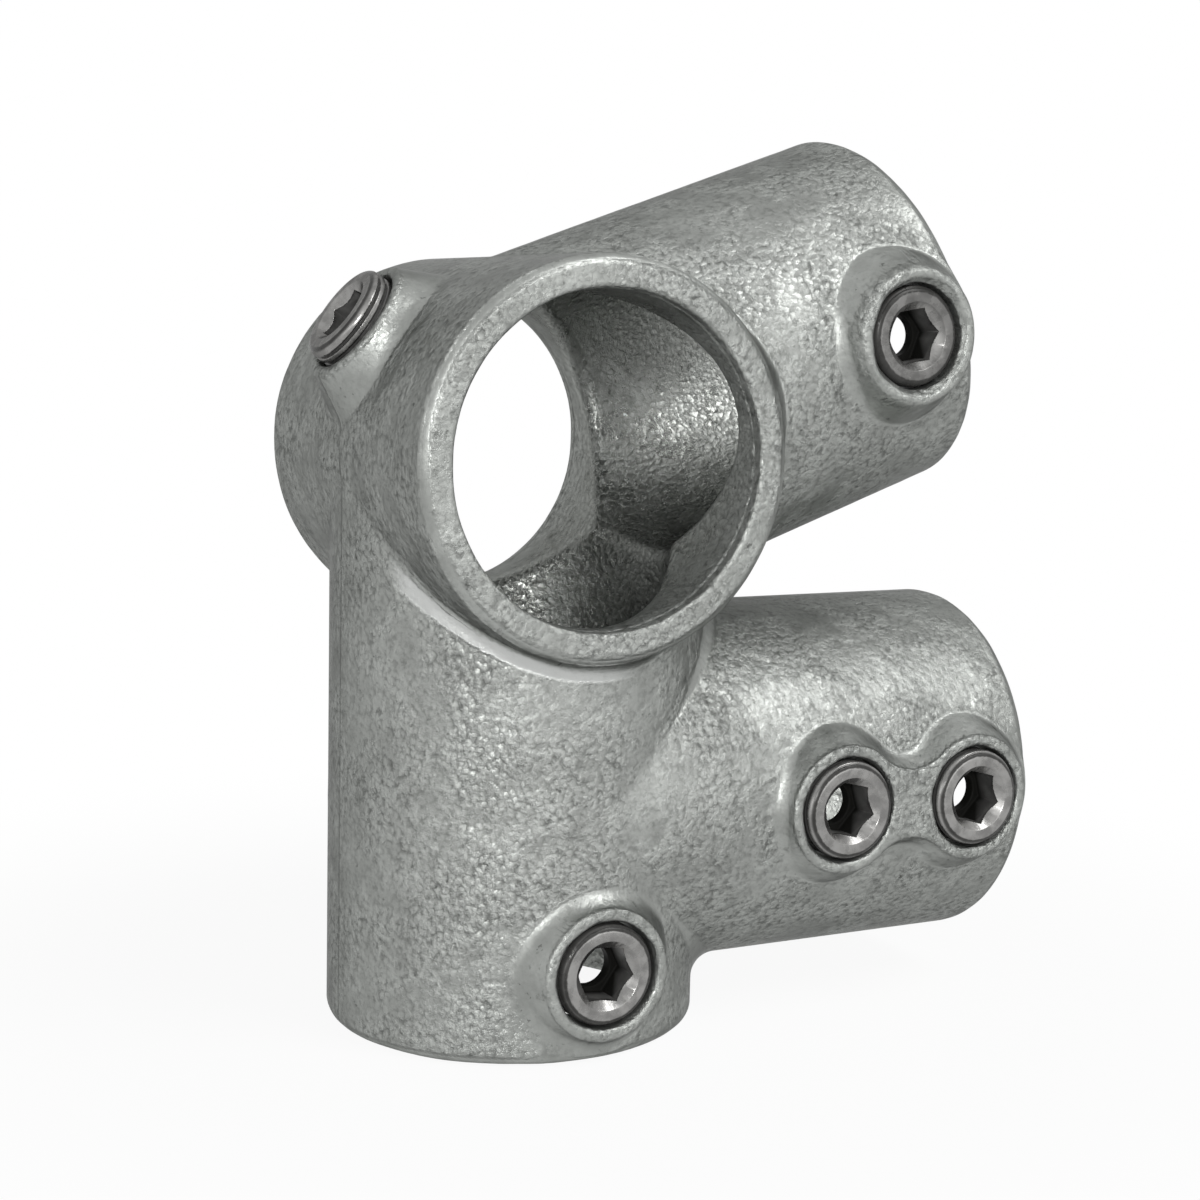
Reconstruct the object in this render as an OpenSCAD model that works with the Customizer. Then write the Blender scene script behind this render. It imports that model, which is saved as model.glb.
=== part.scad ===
// Eaves connector for round tube: one casting and five hollow set screws.
// The origin is on the sleeve's axis, in the plane of the upright, tie and rafter sockets.
// +Z points up along the upright, +X out along the tie, and Y runs along the sleeve.

/* [Sockets] */
// Outer radius of the upright, tie and rafter sockets
socket_r = 30; // [29.5:0.25:30]
// Bore radius of those sockets, loose on a 48.3 mm tube
socket_bore_r = 24.75; // [24.5:0.05:24.9]
// Distance from the sleeve's axis down to the upright's mouth
upright_len = 92.5; // [91:0.5:100]
// Distance from the sleeve's axis down to the tie's axis
tie_drop = 56; // [54:0.5:58]
// Distance from the upright's axis out to the tie's mouth
tie_len = 82.5; // [82:0.5:95]
// Slope of the rafter above the horizontal, in degrees
rafter_pitch = 20; // [12:1:28]
// Distance from the sleeve's axis out to the rafter's mouth
rafter_len = 69.5; // [69:0.5:85]
// Radius of the rounded outer edge at the mouths of the upright, tie and rafter sockets
mouth_round = 2.4; // [1.5:0.1:2.4]

// How much wider each bore is over its first stretch, where the tube enters
lead_in = 0.2; // [0.1:0.05:0.25]
// Length of that stretch
lead_len = 2.4; // [1.5:0.1:3]
// Chamfer on the edge of each bore's mouth
bore_chamfer = 0.6; // [0.3:0.1:0.8]

/* [Sleeve] */
// Outer radius of the through sleeve
sleeve_r = 30.5; // [30.25:0.25:31.5]
// Bore radius of the through sleeve
sleeve_bore_r = 25.3; // [25:0.05:25.6]
// Length of the through sleeve
sleeve_len = 65; // [65:0.5:75]
// Radius of the rounded outer edge at each end of the sleeve
sleeve_round = 1.9; // [1.4:0.1:2.3]

/* [Screw bosses] */
// Radius of a boss at its face
boss_r = 10.2; // [9.8:0.1:10.6]
// How much wider a boss is at the bottom of its taper
boss_flare = 4.4; // [3.3:0.1:4.6]
// Extra radius of the rafter's boss, whose hole has a wide worn rim
rafter_boss_extra = 0.3; // [0:0.05:0.4]
// Radius of the rounded edge of a boss's face
boss_round = 1; // [0.5:0.1:1.4]
// Half width of the waist between the tie's two bosses, at their face
waist_half = 5.5; // [4.5:0.25:7]
// Radius of the hole that takes a set screw
hole_r = 8.4; // [8.35:0.05:8.6]
// Width of the chamfer round that hole
hole_chamfer = 0.8; // [0.4:0.1:1]

/* [Set screws] */
// Radius of a set screw
screw_r = 8.2; // [8:0.05:8.25]
// Length of a set screw
screw_len = 8; // [7:0.25:8]
// Width across the flats of the key socket
hex_af = 8; // [7:0.5:8.5]
// Depth of the key socket
hex_depth = 6; // [5:0.25:6.5]
// Radius of the hole that goes on through the tip
tip_hole_r = 3.3; // [2.5:0.1:3.6]
// Radius of the countersink round the key socket, at the face
sink_r = 5.3; // [4.8:0.1:5.6]
// Depth of the countersink, down to the flats
sink_depth = 1.6; // [1:0.1:2]

/* [Screw places] */
// Angle of the sleeve's screw round the sleeve, from +X
sleeve_screw_angle = 145; // [140:1:150]
// Place of the sleeve's screw along the sleeve
sleeve_screw_y = 0.5; // [-4:0.5:4]
// Place of the upright's screw across the upright
upright_screw_x = 1; // [0:0.25:1.5]
// Height of the upright's screw above the upright's mouth
upright_screw_up = 14.5; // [14:0.5:16]
// Distance of the tie's inner screw from the upright's axis
tie_screw_in = 44; // [42:0.5:46]
// Distance between the tie's two screws
tie_screw_gap = 25; // [24:0.5:26]
// Distance of the rafter's screw from the sleeve's axis
rafter_screw_at = 56.5; // [55:0.5:58]

/* [Hidden] */
$fn = 96;

// A tool that cuts through a face runs past it by this much
past = 1;

// Distance of each boss's face from its own socket's axis
sleeve_boss_at = 34.4;
upright_boss_at = 33;
tie_boss_at = 33;
rafter_boss_at = 34.2;

// Distance of each screw's face from its own socket's axis
sleeve_screw_at = 37.2;
upright_screw_at = 33;
tie_screw_at = 33.8;
rafter_screw_face_at = 33.2;

// Depth over which a boss keeps its taper, deep enough to bury its base in the socket
boss_depth = 8.4;

// A boss that reaches past its limb's mouth is cut off this far short of the mouth
mouth_gap = 0.2;

// Rounded edge of a screw's face and chamfer of its tip
screw_face_round = 1.2;
screw_tip_chamfer = 0.7;

upright_screw_z = upright_screw_up - upright_len;

// Half the distance between the tie's two screws
half_gap = tie_screw_gap / 2;

// Radius of a round cut beside the double boss's waist that would just touch both bosses
touching_r = (half_gap * half_gap + waist_half * waist_half - boss_r * boss_r)
    / (2 * (boss_r - waist_half));

// The cut is wider than that by this factor, so it runs into both bosses
waist_overlap = 1.2;
waist_cut_r = waist_overlap * touching_r;
waist_cut_at = waist_half + waist_cut_r;

// Frames. Each turns +Z onto the direction of one limb or one screw.

module along_sleeve() { rotate([90, 0, 0]) children(); }
module along_upright() { rotate([180, 0, 0]) children(); }
module along_tie() { translate([0, 0, -tie_drop]) rotate([0, 90, 0]) children(); }
module along_rafter() { rotate([0, 90 - rafter_pitch, 0]) children(); }

// +Z of the children is the way out along the screw, and their origin is on the limb's axis
module at_sleeve_screw() {
    translate([0, sleeve_screw_y, 0]) rotate([0, 90 - sleeve_screw_angle, 0]) children();
}
module at_upright_screw() {
    translate([upright_screw_x, 0, upright_screw_z]) rotate([90, 0, 0]) children();
}
module at_tie_screw(x) {
    translate([x, 0, -tie_drop]) rotate([90, 0, 0]) children();
}
module at_rafter_screw() {
    rotate([0, -rafter_pitch, 0]) translate([rafter_screw_at, 0, 0]) rotate([90, 0, 0]) children();
}

// Solids of revolution along +Z

// A round bar from z = 0 to z = len, with its far outer edge rounded
module round_ended(r, len, edge) {
    rotate_extrude() {
        square([r, len - edge]);
        square([r - edge, len]);
        intersection() {
            translate([r - edge, len - edge]) circle(edge);
            translate([r - edge, len - edge]) square(edge);
        }
    }
}

// A bore from z = 0 to past the mouth at z = mouth, with its lead-in and a chamfered edge there
module socket_bore(r, mouth) {
    lead_r = r + lead_in;
    cylinder(r = r, h = mouth + past);
    translate([0, 0, mouth - lead_len]) cylinder(r = lead_r, h = lead_len + past);
    translate([0, 0, mouth - bore_chamfer])
        cylinder(r1 = lead_r, r2 = lead_r + bore_chamfer + past, h = bore_chamfer + past);
}

// A drafted boss of radius r whose face is at z = face, with a rounded rim
module boss(face, r = boss_r) {
    translate([0, 0, face - boss_depth]) rotate_extrude() {
        polygon([
            [0, 0],
            [r + boss_flare, 0],
            [r + boss_flare * boss_round / boss_depth, boss_depth - boss_round],
            [r - boss_round, boss_depth - boss_round],
            [r - boss_round, boss_depth],
            [0, boss_depth]
        ]);
        intersection() {
            translate([r - boss_round, boss_depth - boss_round]) circle(boss_round);
            translate([r - boss_round, boss_depth - boss_round]) square(boss_round);
        }
    }
}

// The part of a boss on a limb along +Z that stays short of the mouth at z = mouth
module short_of(mouth) { cylinder(r = 2 * socket_r, h = mouth - mouth_gap); }

// The waist that joins two bosses a tie_screw_gap apart along X, centred between them.
// Its sides are two tapered round cuts that run into both bosses alike at every height.
module boss_waist(face) {
    difference() {
        translate([0, 0, face - boss_depth]) linear_extrude(boss_depth) polygon([
            [-half_gap, 0], [0, -waist_cut_at], [half_gap, 0], [0, waist_cut_at]
        ]);
        for (side = [-1, 1])
            translate([0, side * waist_cut_at, face - boss_depth])
                cylinder(r1 = waist_cut_r - boss_flare, r2 = waist_cut_r, h = boss_depth);
    }
}

// The threaded hole's clear way from inside the bore to past the boss, with its chamfer
module screw_hole(face) {
    cylinder(r = hole_r, h = face + past);
    translate([0, 0, face - hole_chamfer])
        cylinder(r1 = hole_r, r2 = hole_r + hole_chamfer + past, h = hole_chamfer + past);
}

// The casting

module limbs() {
    along_sleeve() {
        round_ended(sleeve_r, sleeve_len / 2, sleeve_round);
        mirror([0, 0, 1]) round_ended(sleeve_r, sleeve_len / 2, sleeve_round);
    }
    along_upright() round_ended(socket_r, upright_len, mouth_round);
    along_tie() round_ended(socket_r, tie_len, mouth_round);
    along_rafter() round_ended(socket_r, rafter_len, mouth_round);
}

module bosses() {
    at_sleeve_screw() boss(sleeve_boss_at);
    intersection() {
        at_upright_screw() boss(upright_boss_at);
        along_upright() short_of(upright_len);
    }
    at_tie_screw(tie_screw_in) boss(tie_boss_at);
    at_tie_screw(tie_screw_in + half_gap) boss_waist(tie_boss_at);
    intersection() {
        at_tie_screw(tie_screw_in + tie_screw_gap) boss(tie_boss_at);
        along_tie() short_of(tie_len);
    }
    intersection() {
        at_rafter_screw() boss(rafter_boss_at, boss_r + rafter_boss_extra);
        along_rafter() short_of(rafter_len);
    }
}

module bores() {
    along_sleeve() {
        socket_bore(sleeve_bore_r, sleeve_len / 2);
        mirror([0, 0, 1]) socket_bore(sleeve_bore_r, sleeve_len / 2);
    }
    along_upright() socket_bore(socket_bore_r, upright_len);
    along_tie() socket_bore(socket_bore_r, tie_len);
    along_rafter() socket_bore(socket_bore_r, rafter_len);
}

module screw_holes() {
    at_sleeve_screw() screw_hole(sleeve_boss_at);
    at_upright_screw() screw_hole(upright_boss_at);
    for (x = [tie_screw_in, tie_screw_in + tie_screw_gap]) at_tie_screw(x) screw_hole(tie_boss_at);
    at_rafter_screw() screw_hole(rafter_boss_at);
}

module casting() {
    color("#8d9290") difference() {
        union() {
            limbs();
            bosses();
        }
        bores();
        screw_holes();
    }
}

// A hollow set screw with its face at z = face and its tip towards the bore
module set_screw(face) {
    tip = face - screw_len;
    flat_r = hex_af / 2;
    color("#9a9794") difference() {
        union() {
            translate([0, 0, tip])
                cylinder(r1 = screw_r - screw_tip_chamfer, r2 = screw_r, h = screw_tip_chamfer);
            translate([0, 0, tip + screw_tip_chamfer])
                round_ended(screw_r, screw_len - screw_tip_chamfer, screw_face_round);
        }
        // The key socket, its countersink and the hole through the tip
        translate([0, 0, face - hex_depth]) cylinder(r = flat_r / cos(30), h = hex_depth + past, $fn = 6);
        translate([0, 0, face - sink_depth])
            cylinder(
                r1 = flat_r,
                r2 = sink_r + (sink_r - flat_r) * past / sink_depth,
                h = sink_depth + past
            );
        translate([0, 0, tip - past]) cylinder(r = tip_hole_r, h = screw_len);
    }
}

module sleeve_set_screw() { at_sleeve_screw() set_screw(sleeve_screw_at); }
module upright_set_screw() { at_upright_screw() set_screw(upright_screw_at); }
module tie_inner_set_screw() { at_tie_screw(tie_screw_in) set_screw(tie_screw_at); }
module tie_outer_set_screw() { at_tie_screw(tie_screw_in + tie_screw_gap) set_screw(tie_screw_at); }
module rafter_set_screw() { at_rafter_screw() set_screw(rafter_screw_face_at); }

casting();
sleeve_set_screw();
upright_set_screw();
tie_inner_set_screw();
tie_outer_set_screw();
rafter_set_screw();
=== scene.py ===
"""Eaves connector for round tube: one galvanised casting and five hollow set screws.

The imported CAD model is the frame. The casting and the screws are rebuilt here from the same
sizes as smooth surfaces, with cast fillets, rounded rims and threads, and are given their
finishes. All lengths are in metres, in the frame of the CAD model.
"""

import logging
import math
from collections.abc import Callable, Mapping, Sequence
from dataclasses import dataclass
from enum import Enum
from typing import Union

import bpy
import numpy as np
from mathutils import Matrix, Vector


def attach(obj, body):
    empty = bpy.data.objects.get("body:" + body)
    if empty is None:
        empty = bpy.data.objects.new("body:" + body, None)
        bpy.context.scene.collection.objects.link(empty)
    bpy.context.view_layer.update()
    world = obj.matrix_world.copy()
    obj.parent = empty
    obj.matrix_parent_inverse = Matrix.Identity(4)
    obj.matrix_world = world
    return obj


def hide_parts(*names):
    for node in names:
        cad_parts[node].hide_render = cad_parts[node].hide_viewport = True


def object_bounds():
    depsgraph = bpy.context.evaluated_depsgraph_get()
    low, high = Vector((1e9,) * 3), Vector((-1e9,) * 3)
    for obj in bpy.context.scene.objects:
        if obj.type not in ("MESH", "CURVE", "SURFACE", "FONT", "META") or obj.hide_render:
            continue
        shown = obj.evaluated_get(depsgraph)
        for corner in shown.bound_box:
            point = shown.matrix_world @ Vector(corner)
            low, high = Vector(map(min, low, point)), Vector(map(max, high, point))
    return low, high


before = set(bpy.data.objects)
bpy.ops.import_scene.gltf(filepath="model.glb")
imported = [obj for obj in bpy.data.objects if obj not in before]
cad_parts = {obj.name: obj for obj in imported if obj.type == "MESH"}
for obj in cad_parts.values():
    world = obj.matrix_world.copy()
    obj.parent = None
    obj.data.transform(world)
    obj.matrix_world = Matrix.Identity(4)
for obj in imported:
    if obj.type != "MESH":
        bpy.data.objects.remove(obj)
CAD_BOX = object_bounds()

LOG = logging.getLogger("connector")
MM = 0.001

Vec = tuple[float, float, float]
Pair = tuple[float, float]
Array = np.ndarray

ORIGIN: Vec = (0.0, 0.0, 0.0)
X_AXIS: Vec = (1.0, 0.0, 0.0)
Y_AXIS: Vec = (0.0, 1.0, 0.0)
FRONT: Vec = (0.0, -1.0, 0.0)
UP: Vec = (0.0, 0.0, 1.0)
DOWN: Vec = (0.0, 0.0, -1.0)
WHITE: Vec = (1.0, 1.0, 1.0)

RISING: Pair = (0.0, 1.0)
FALLING: Pair = (1.0, 0.0)

TINY = 1e-9
NEARLY_PARALLEL = 0.98
MIDWAY_SLOPE = 1.5
SLEEVE_LEAN = math.radians(145.0)
DEPTH_SCALE = 60.0 * MM
KEY_REACH = 5.2 * MM
FULL_STEPS = (0.5 * MM, 0.14 * MM)
RIM_WAVES = ((0.45, 2.0, 0.0), (0.3, 5.0, 1.3), (0.25, 9.0, 0.4))


def smooth_step(value: Array, low: float, high: float) -> Array:
    """Rises smoothly from 0 at low to 1 at high, steepest midway, by MIDWAY_SLOPE.

    Args:
        value: Numbers to look up.
        low: Where the rise starts.
        high: Where the rise ends.

    Returns:
        The height of the rise at each number.
    """
    share = np.clip((value - low) / (high - low), 0.0, 1.0)
    return share * share * (3.0 - 2.0 * share)


@dataclass
class Field:
    """How far each of many points is from the skin of a solid, below 0 inside it.

    Attributes:
        distance: One signed distance a point.
        normal: One unit vector a point, which leads out of the solid.
    """

    distance: Array
    normal: Array

    def __neg__(self) -> "Field":
        """The space round the solid."""
        return Field(-self.distance, -self.normal)

    def joined(self, other: "Field", fillet: float = 0.0) -> "Field":
        """Adds another solid, with a rolling-ball fillet where the two skins meet at an angle.

        Args:
            other: The solid to add.
            fillet: Radius of the fillet.

        Returns:
            The solid of both.
        """
        nearer = other.distance < self.distance
        distance = np.where(nearer, other.distance, self.distance)
        normal = np.where(nearer[:, None], other.normal, self.normal)
        if fillet <= 0.0:
            return Field(distance, normal)
        close = np.flatnonzero((self.distance < fillet) & (other.distance < fillet))
        n_a, n_b = self.normal[close], other.normal[close]
        cosine = np.clip(np.einsum("ij,ij->i", n_a, n_b), -NEARLY_PARALLEL, NEARLY_PARALLEL)
        a = fillet - self.distance[close]
        b = fillet - other.distance[close]
        share_a = a - cosine * b
        share_b = b - cosine * a
        rolled = (share_a > 0.0) & (share_b > 0.0)
        close, n_a, n_b = close[rolled], n_a[rolled], n_b[rolled]
        a, b, cosine = a[rolled], b[rolled], cosine[rolled]
        share_a, share_b = share_a[rolled], share_b[rolled]
        sine_2 = 1.0 - cosine * cosine
        reach = np.sqrt((share_a * a + share_b * b) / sine_2)
        distance[close] = fillet - reach
        turned = share_a[:, None] * n_a + share_b[:, None] * n_b
        normal[close] = turned / (sine_2 * reach)[:, None]
        return Field(distance, normal)

    def within(self, other: "Field", edge: float = 0.0) -> "Field":
        """Keeps what is also inside another solid, with the edges rounded to a radius."""
        return -((-self).joined(-other, edge))

    def less(self, other: "Field", edge: float = 0.0) -> "Field":
        """Cuts another solid away, with the edges rounded to a radius."""
        return -((-self).joined(other, edge))


def lengths(vectors: Array) -> Array:
    """The length of each vector."""
    return np.sqrt(np.einsum("ij,ij->i", vectors, vectors))


def across(points: Array, direction: Vec) -> Array:
    """How far each point lies along a unit vector."""
    return points @ np.asarray(direction, points.dtype)


def half_space(points: Array, direction: Vec, at: float) -> Field:
    """Everything below a plane that stands square to a direction, at a place along it."""
    normal = np.broadcast_to(np.asarray(direction, points.dtype), points.shape)
    return Field(across(points, direction) - at, normal)


def radial(points: Array, start: Vec, axis: Vec) -> tuple[Array, Array, Array]:
    """Splits points into a place along an axis and a distance from it.

    Args:
        points: Where to measure.
        start: A point on the axis.
        axis: Unit vector along the axis.

    Returns:
        The place along the axis, the distance from it, and the unit vector away from it.
    """
    offset = points - np.asarray(start, points.dtype)
    along = across(offset, axis)
    away = offset - along[:, None] * np.asarray(axis, points.dtype)
    distance = lengths(away)
    return along, distance, away / np.maximum(distance, TINY)[:, None]


def round_bar(points: Array, start: Vec, axis: Vec, radius: float) -> Field:
    """A round bar without end along an axis, with a half ball over its start.

    The half ball keeps the start of a limb inside the limb that it grows from.

    Args:
        points: Where to measure.
        start: Centre of the half ball.
        axis: Unit vector along the bar.
        radius: Radius of the bar.

    Returns:
        The bar.
    """
    along, distance, away = radial(points, start, axis)
    behind = along < 0.0
    offset = points - np.asarray(start, points.dtype)
    length = lengths(offset)
    ball = offset / np.maximum(length, TINY)[:, None]
    return Field(
        np.where(behind, length, distance) - radius,
        np.where(behind[:, None], ball, away),
    )


@dataclass(frozen=True)
class Lattice:
    """Smooth seeded noise from -1 to 1, with lumps of about one size.

    Attributes:
        lump: Size of a lump.
        seed: Start of the random numbers.
        cells: Lattice points a side, after which the noise repeats.
        shift: Lumps added to every place, which keeps places above 0.
    """

    lump: float
    seed: int
    cells: int = 48
    shift: float = 1000.0

    def __call__(self, points: Array) -> Array:
        """Reads the noise.

        Args:
            points: Where to read it.

        Returns:
            The noise at each point.
        """
        table = np.random.default_rng(self.seed).uniform(-1.0, 1.0, (self.cells,) * 3)
        place = points / self.lump + self.shift
        floor = np.floor(place).astype(np.int64)
        share = smooth_step(place - floor, 0.0, 1.0)
        total = np.zeros(len(points))
        for corner in np.ndindex(2, 2, 2):
            weight = np.ones(len(points))
            for side in range(3):
                weight *= share[:, side] if corner[side] else 1.0 - share[:, side]
            cell = (floor + corner) % self.cells
            total += weight * table[cell[:, 0], cell[:, 1], cell[:, 2]]
        return total


Shape = Callable[[Array], Field]


@dataclass(frozen=True)
class Skin:
    """The skin of a solid as a mesh in numbers.

    Attributes:
        points: One place a vertex.
        faces: Four vertex numbers a face.
    """

    points: Array
    faces: Array


@dataclass(frozen=True)
class Skinner:
    """Draws a closed net of four-sided faces over a solid.

    Attributes:
        step: Side of a cell of the grid.
        block: Cells a side of a block, which is skipped where no skin passes near it.
        chunk: Points measured at a time.
        settle_rounds: Times each vertex is moved onto the skin.
        near: Blocks from the skin within which the grid is measured finely.
    """

    step: float
    block: int = 4
    chunk: int = 400_000
    settle_rounds: int = 3
    near: float = 1.1

    @staticmethod
    def _places(counts: Sequence[int]) -> Array:
        """Every whole place in a box of cells, one a row."""
        ranges = [np.arange(count) for count in counts]
        return np.stack(np.meshgrid(*ranges, indexing="ij"), -1).reshape(-1, 3)

    def _measure(self, shape: Shape, points: Array) -> Array:
        """Measures many points, a chunk at a time.

        Args:
            shape: The solid.
            points: Where to measure.

        Returns:
            The signed distance at each point.
        """
        parts = [
            shape(points[first : first + self.chunk]).distance
            for first in range(0, len(points), self.chunk)
        ]
        return np.concatenate(parts)

    def _sample(self, shape: Shape, low: Array, counts: Array) -> Array:
        """Measures the grid, finely near the skin and coarsely elsewhere.

        Args:
            shape: The solid.
            low: Lowest corner of the grid.
            counts: Blocks a side of the grid.

        Returns:
            The signed distance at every grid point.
        """
        side = self.step * self.block
        places = self._places(counts)
        middle = (low + (places + 0.5) * side - 0.5 * self.step).astype(np.float32)
        coarse = self._measure(shape, middle)
        near = places[np.abs(coarse) < self.near * self.step * self.block]
        grid = coarse.reshape(counts)
        for axis in range(3):
            grid = np.repeat(grid, self.block, axis)
        inner = self._places([self.block] * 3)
        fine = (near[:, None] * self.block + inner[None]).reshape(-1, 3)
        values = self._measure(shape, (low + fine * self.step).astype(np.float32))
        grid[fine[:, 0], fine[:, 1], fine[:, 2]] = values
        return grid

    def skin(self, shape: Shape, low: Vec, high: Vec) -> Skin:
        """Draws the net.

        Args:
            shape: The solid.
            low: Lowest corner of a box round the solid.
            high: Highest corner of that box.

        Returns:
            The net, closed and with its faces turned outwards.
        """
        side = self.step * self.block
        start = np.asarray(low) - side
        counts = np.ceil((np.asarray(high) + side - start) / side).astype(int)
        grid = self._sample(shape, start, counts)
        inside = grid < 0.0
        size = np.array(grid.shape)
        strides = np.array([size[1] * size[2], size[2], 1])
        faces, owners, places = [], [], []
        for axis in range(3):
            ahead = [slice(None)] * 3
            behind = [slice(None)] * 3
            ahead[axis], behind[axis] = slice(1, None), slice(None, -1)
            crossing = np.argwhere(inside[tuple(behind)] != inside[tuple(ahead)])
            first = grid[crossing[:, 0], crossing[:, 1], crossing[:, 2]]
            step = np.zeros(3, int)
            step[axis] = 1
            after = crossing + step
            second = grid[after[:, 0], after[:, 1], after[:, 2]]
            place = crossing.astype(float)
            place[:, axis] += first / (first - second)
            one, two = np.zeros(3, int), np.zeros(3, int)
            one[(axis + 1) % 3] = 1
            two[(axis + 2) % 3] = 1
            round_edge = [crossing, crossing - one, crossing - one - two, crossing - two]
            cells = np.stack([cell @ strides for cell in round_edge], 1)
            leaves = first < 0.0
            faces.append(np.where(leaves[:, None], cells, cells[:, ::-1]))
            owners.append(cells.reshape(-1))
            places.append(np.repeat(place, 4, 0))
        names, numbers = np.unique(np.concatenate(owners), return_inverse=True)
        place = np.concatenate(places)
        share = np.bincount(numbers, minlength=len(names))
        middle = np.stack(
            [np.bincount(numbers, place[:, side], len(names)) / share for side in range(3)], 1
        )
        every_face = np.searchsorted(names, np.concatenate(faces))
        points = self.settled(shape, start + middle * self.step)
        return Skin(points, every_face)

    def settled(self, shape: Shape, points: Array) -> Array:
        """Moves points onto the skin of a solid.

        Args:
            shape: The solid.
            points: Places near its skin.

        Returns:
            The nearest places on the skin.
        """
        for _ in range(self.settle_rounds):
            moved = []
            for first in range(0, len(points), self.chunk):
                part = points[first : first + self.chunk]
                found = shape(part)
                step = np.clip(found.distance, -self.step, self.step)
                moved.append(part - step[:, None] * found.normal)
            points = np.concatenate(moved)
        return points


@dataclass(frozen=True)
class Piece:
    """One object of the scene, made from a skin.

    Attributes:
        name: Name of the object.
        body: CAD body that it rides on.
        node: CAD node that it stands for.
        slot: Material slot that it takes its finish from. Not used.
    """

    name: str
    body: str
    node: str
    slot: str

    def place(self, mesh: bpy.types.Mesh, material: bpy.types.Material) -> bpy.types.Object:
        """Adds the object to the scene, dressed and riding on its body.

        Args:
            mesh: The finished mesh, in the frame of the CAD model.
            material: Its finish.

        Returns:
            The new object.
        """
        mesh.materials.clear()
        mesh.materials.append(material)
        thing = bpy.data.objects.new(self.name, mesh)
        bpy.context.scene.collection.objects.link(thing)
        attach(thing, self.body)
        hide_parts(self.node)
        LOG.info("%s: %d faces on %s", self.name, len(mesh.polygons), self.body)
        return thing


def mesh_of(name: str, skin: Skin) -> bpy.types.Mesh:
    """Turns a skin into a smooth Blender mesh.

    Args:
        name: Name of the mesh.
        skin: The skin.

    Returns:
        The mesh.
    """
    mesh = bpy.data.meshes.new(name)
    mesh.vertices.add(len(skin.points))
    mesh.vertices.foreach_set("co", skin.points.astype(np.float32).ravel())
    mesh.loops.add(skin.faces.size)
    mesh.loops.foreach_set("vertex_index", skin.faces.astype(np.int32).ravel())
    mesh.polygons.add(len(skin.faces))
    corners = skin.faces.shape[1]
    starts = np.arange(len(skin.faces), dtype=np.int32) * corners
    mesh.polygons.foreach_set("loop_start", starts)
    mesh.update(calc_edges=True)
    mesh.polygons.foreach_set("use_smooth", np.ones(len(skin.faces), bool))
    return mesh


def thinned(mesh: bpy.types.Mesh, triangles: int) -> bpy.types.Mesh:
    """Merges the faces of a mesh where it is flat.

    Args:
        mesh: The mesh, which is removed.
        triangles: How many triangles to leave.

    Returns:
        The lighter mesh.
    """
    mesh.calc_loop_triangles()
    share = triangles / max(len(mesh.loop_triangles), 1)
    if share >= 1.0:
        return mesh
    holder = bpy.data.objects.new("thinning", mesh)
    bpy.context.scene.collection.objects.link(holder)
    merger = holder.modifiers.new("merge", "DECIMATE")
    merger.ratio = share
    merger.use_collapse_triangulate = True
    seen = holder.evaluated_get(bpy.context.evaluated_depsgraph_get())
    light = bpy.data.meshes.new_from_object(seen)
    light.name = mesh.name
    bpy.data.objects.remove(holder)
    bpy.data.meshes.remove(mesh)
    return light


def points_of(mesh: bpy.types.Mesh) -> Array:
    """Reads the places of a mesh's vertices.

    Args:
        mesh: The mesh.

    Returns:
        One place a vertex.
    """
    flat = np.zeros(len(mesh.vertices) * 3, np.float32)
    mesh.vertices.foreach_get("co", flat)
    return flat.reshape(-1, 3).astype(float)


def set_points(mesh: bpy.types.Mesh, points: Array) -> None:
    """Moves a mesh's vertices to new places."""
    mesh.vertices.foreach_set("co", points.astype(np.float32).ravel())
    mesh.update()


def set_share(mesh: bpy.types.Mesh, name: str, values: Array) -> None:
    """Stores one number a vertex, which a finish reads by name."""
    mesh.attributes.new(name, "FLOAT", "POINT").data.foreach_set(
        "value", values.astype(np.float32)
    )


def set_normals(mesh: bpy.types.Mesh, normals: Array) -> None:
    """Gives a mesh its shading normals, one a vertex."""
    mesh.polygons.foreach_set("use_smooth", np.ones(len(mesh.polygons), bool))
    mesh.normals_split_custom_set_from_vertices(normals.astype(np.float32))


WIDE_WAVES = Lattice(6.5 * MM, seed=11)
NARROW_WAVES = Lattice(2.6 * MM, seed=12)


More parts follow.
